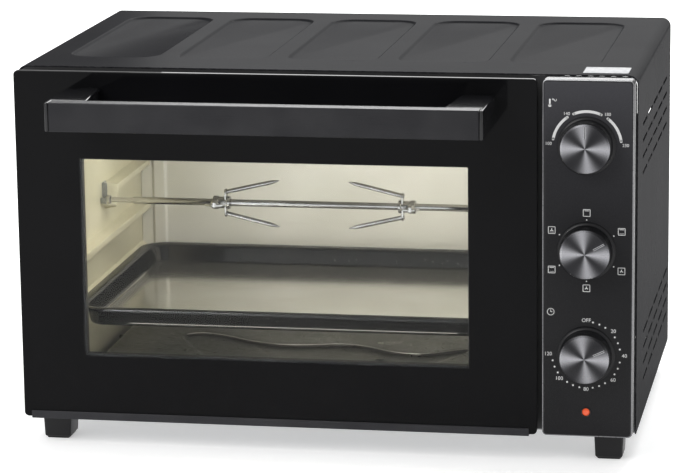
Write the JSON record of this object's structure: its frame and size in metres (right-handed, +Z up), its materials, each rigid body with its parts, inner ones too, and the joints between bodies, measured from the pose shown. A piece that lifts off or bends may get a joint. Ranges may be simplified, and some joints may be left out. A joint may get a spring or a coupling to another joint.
{
  "type": "rotisserie oven",
  "caption": "Countertop oven with a drop-down glass door, bar handle, side control panel with turning knobs, lit cavity, baking tray and a driven rotisserie spit with forks.",
  "frame": {"origin": "middle of the whole oven's footprint, on the surface that the feet stand on", "axes": "+X towards the control panel side (right, seen from the front), +Y towards the back, +Z up"},
  "size_m": [0.54, 0.445, 0.337],
  "materials": {
    "casing_paint": "black powder coat, satin",
    "galvanised": "galvanised steel, dull",
    "cavity_steel": "aluminised steel sheet, satin, warm tint",
    "tray_enamel": "black vitreous enamel, glossy",
    "element_steel": "dark steel",
    "spit_chrome": "bright chrome plate",
    "black_plastic": "black moulded plastic, satin",
    "gloss_black": "gloss black",
    "dark_trim": "dark brushed metal",
    "door_pane": "toughened glass with a black border",
    "lamp_clear": "clear glass",
    "pilot_red": "translucent orange-red",
    "ceramic_body": "off-white, matt"
  },
  "bodies": {
    "casing": {"outer_cover": "casing_paint", "back_panel": "casing_paint", "front_frame": "casing_paint", "base_pan": "galvanised", "lamp_housing": "galvanised", "fan_housing": "galvanised", "spit_bracket": "galvanised", "hinge_bracket_left": "galvanised", "hinge_bracket_right": "galvanised", "timer": "galvanised", "cavity_left_wall": "cavity_steel", "cavity_right_wall": "cavity_steel", "cavity_back_wall": "cavity_steel", "cavity_ceiling": "cavity_steel", "cavity_floor": "cavity_steel", "floor_plate": "cavity_steel", "baking_tray": "tray_enamel", "upper_heater_front": "element_steel", "upper_heater_rear": "element_steel", "lower_heater_front": "element_steel", "lower_heater_rear": "element_steel", "spit_motor": "element_steel", "fan_motor": "element_steel", "foot_front_left": "black_plastic", "foot_front_right": "black_plastic", "foot_rear_left": "black_plastic", "foot_rear_right": "black_plastic", "cord_gland": "black_plastic", "control_panel": "black_plastic", "panel_face": "gloss_black", "lamp_glass": "lamp_clear", "lamp_bulb": "lamp_clear", "indicator_lens": "pilot_red", "thermostat": "ceramic_body", "selector_switch": "ceramic_body", "terminal_block": "ceramic_body"},
    "door": {"door_glass": "door_pane", "door_frame": "casing_paint", "door_bottom_rail": "dark_trim", "handle_bar": "dark_trim", "handle_post_left": "gloss_black", "handle_post_right": "gloss_black", "hinge_pin_left": "galvanised", "hinge_pin_right": "galvanised"},
    "temperature_control": {"temperature_knob": "black_plastic", "temperature_knob_cap": "dark_trim", "temperature_spindle": "galvanised"},
    "function_control": {"function_knob": "black_plastic", "function_knob_cap": "dark_trim", "function_spindle": "galvanised"},
    "timer_control": {"timer_knob": "black_plastic", "timer_knob_cap": "dark_trim", "timer_spindle": "galvanised"},
    "spit": {"spit_rod": "spit_chrome", "drive_socket": "spit_chrome"},
    "left_fork": {"fork_left": "spit_chrome"},
    "right_fork": {"fork_right": "spit_chrome"},
    "left_thumbscrew": {"thumbscrew_left": "spit_chrome"},
    "right_thumbscrew": {"thumbscrew_right": "spit_chrome"},
    "fan": {"fan_blade": "cavity_steel"}
  },
  "joints": [
    {"name": "door_hinge", "type": "hinge", "parent": "casing", "child": "door", "pos_m": [0, -0.1355, 0.033], "axis": [1, 0, 0], "range_deg": [0, 90], "stiffness_Nm_per_rad": 1, "springref_deg": -40.11},
    {"name": "temperature_turn", "type": "hinge", "parent": "casing", "child": "temperature_control", "pos_m": [0.2286, -0.1435, 0.2797], "axis": [0, 1, 0], "range_deg": [-87, 87]},
    {"name": "function_turn", "type": "hinge", "parent": "casing", "child": "function_control", "pos_m": [0.2286, -0.1435, 0.1893], "axis": [0, 1, 0], "continuous": true},
    {"name": "timer_turn", "type": "hinge", "parent": "casing", "child": "timer_control", "pos_m": [0.2286, -0.1435, 0.0984], "axis": [0, 1, 0], "range_deg": [-65, 205]},
    {"name": "spit_turn", "type": "hinge", "parent": "casing", "child": "spit", "pos_m": [-0.042, 0.0245, 0.1885], "axis": [1, 0, 0], "continuous": true},
    {"name": "fork_left_slide", "type": "slide", "parent": "spit", "child": "left_fork", "axis": [1, 0, 0], "range_m": [-0.06, 0.04]},
    {"name": "fork_right_slide", "type": "slide", "parent": "spit", "child": "right_fork", "axis": [1, 0, 0], "range_m": [-0.04, 0.06]},
    {"name": "thumbscrew_left_turn", "type": "hinge", "parent": "left_fork", "child": "left_thumbscrew", "pos_m": [-0.1285, 0.0135, 0.1885], "axis": [0, -1, 0], "continuous": true},
    {"name": "thumbscrew_right_turn", "type": "hinge", "parent": "right_fork", "child": "right_thumbscrew", "pos_m": [0.0525, 0.0135, 0.1885], "axis": [0, -1, 0], "continuous": true},
    {"name": "fan_turn", "type": "hinge", "parent": "casing", "child": "fan", "pos_m": [0.16, 0.0965, 0.225], "axis": [1, 0, 0], "continuous": true}
  ]
}
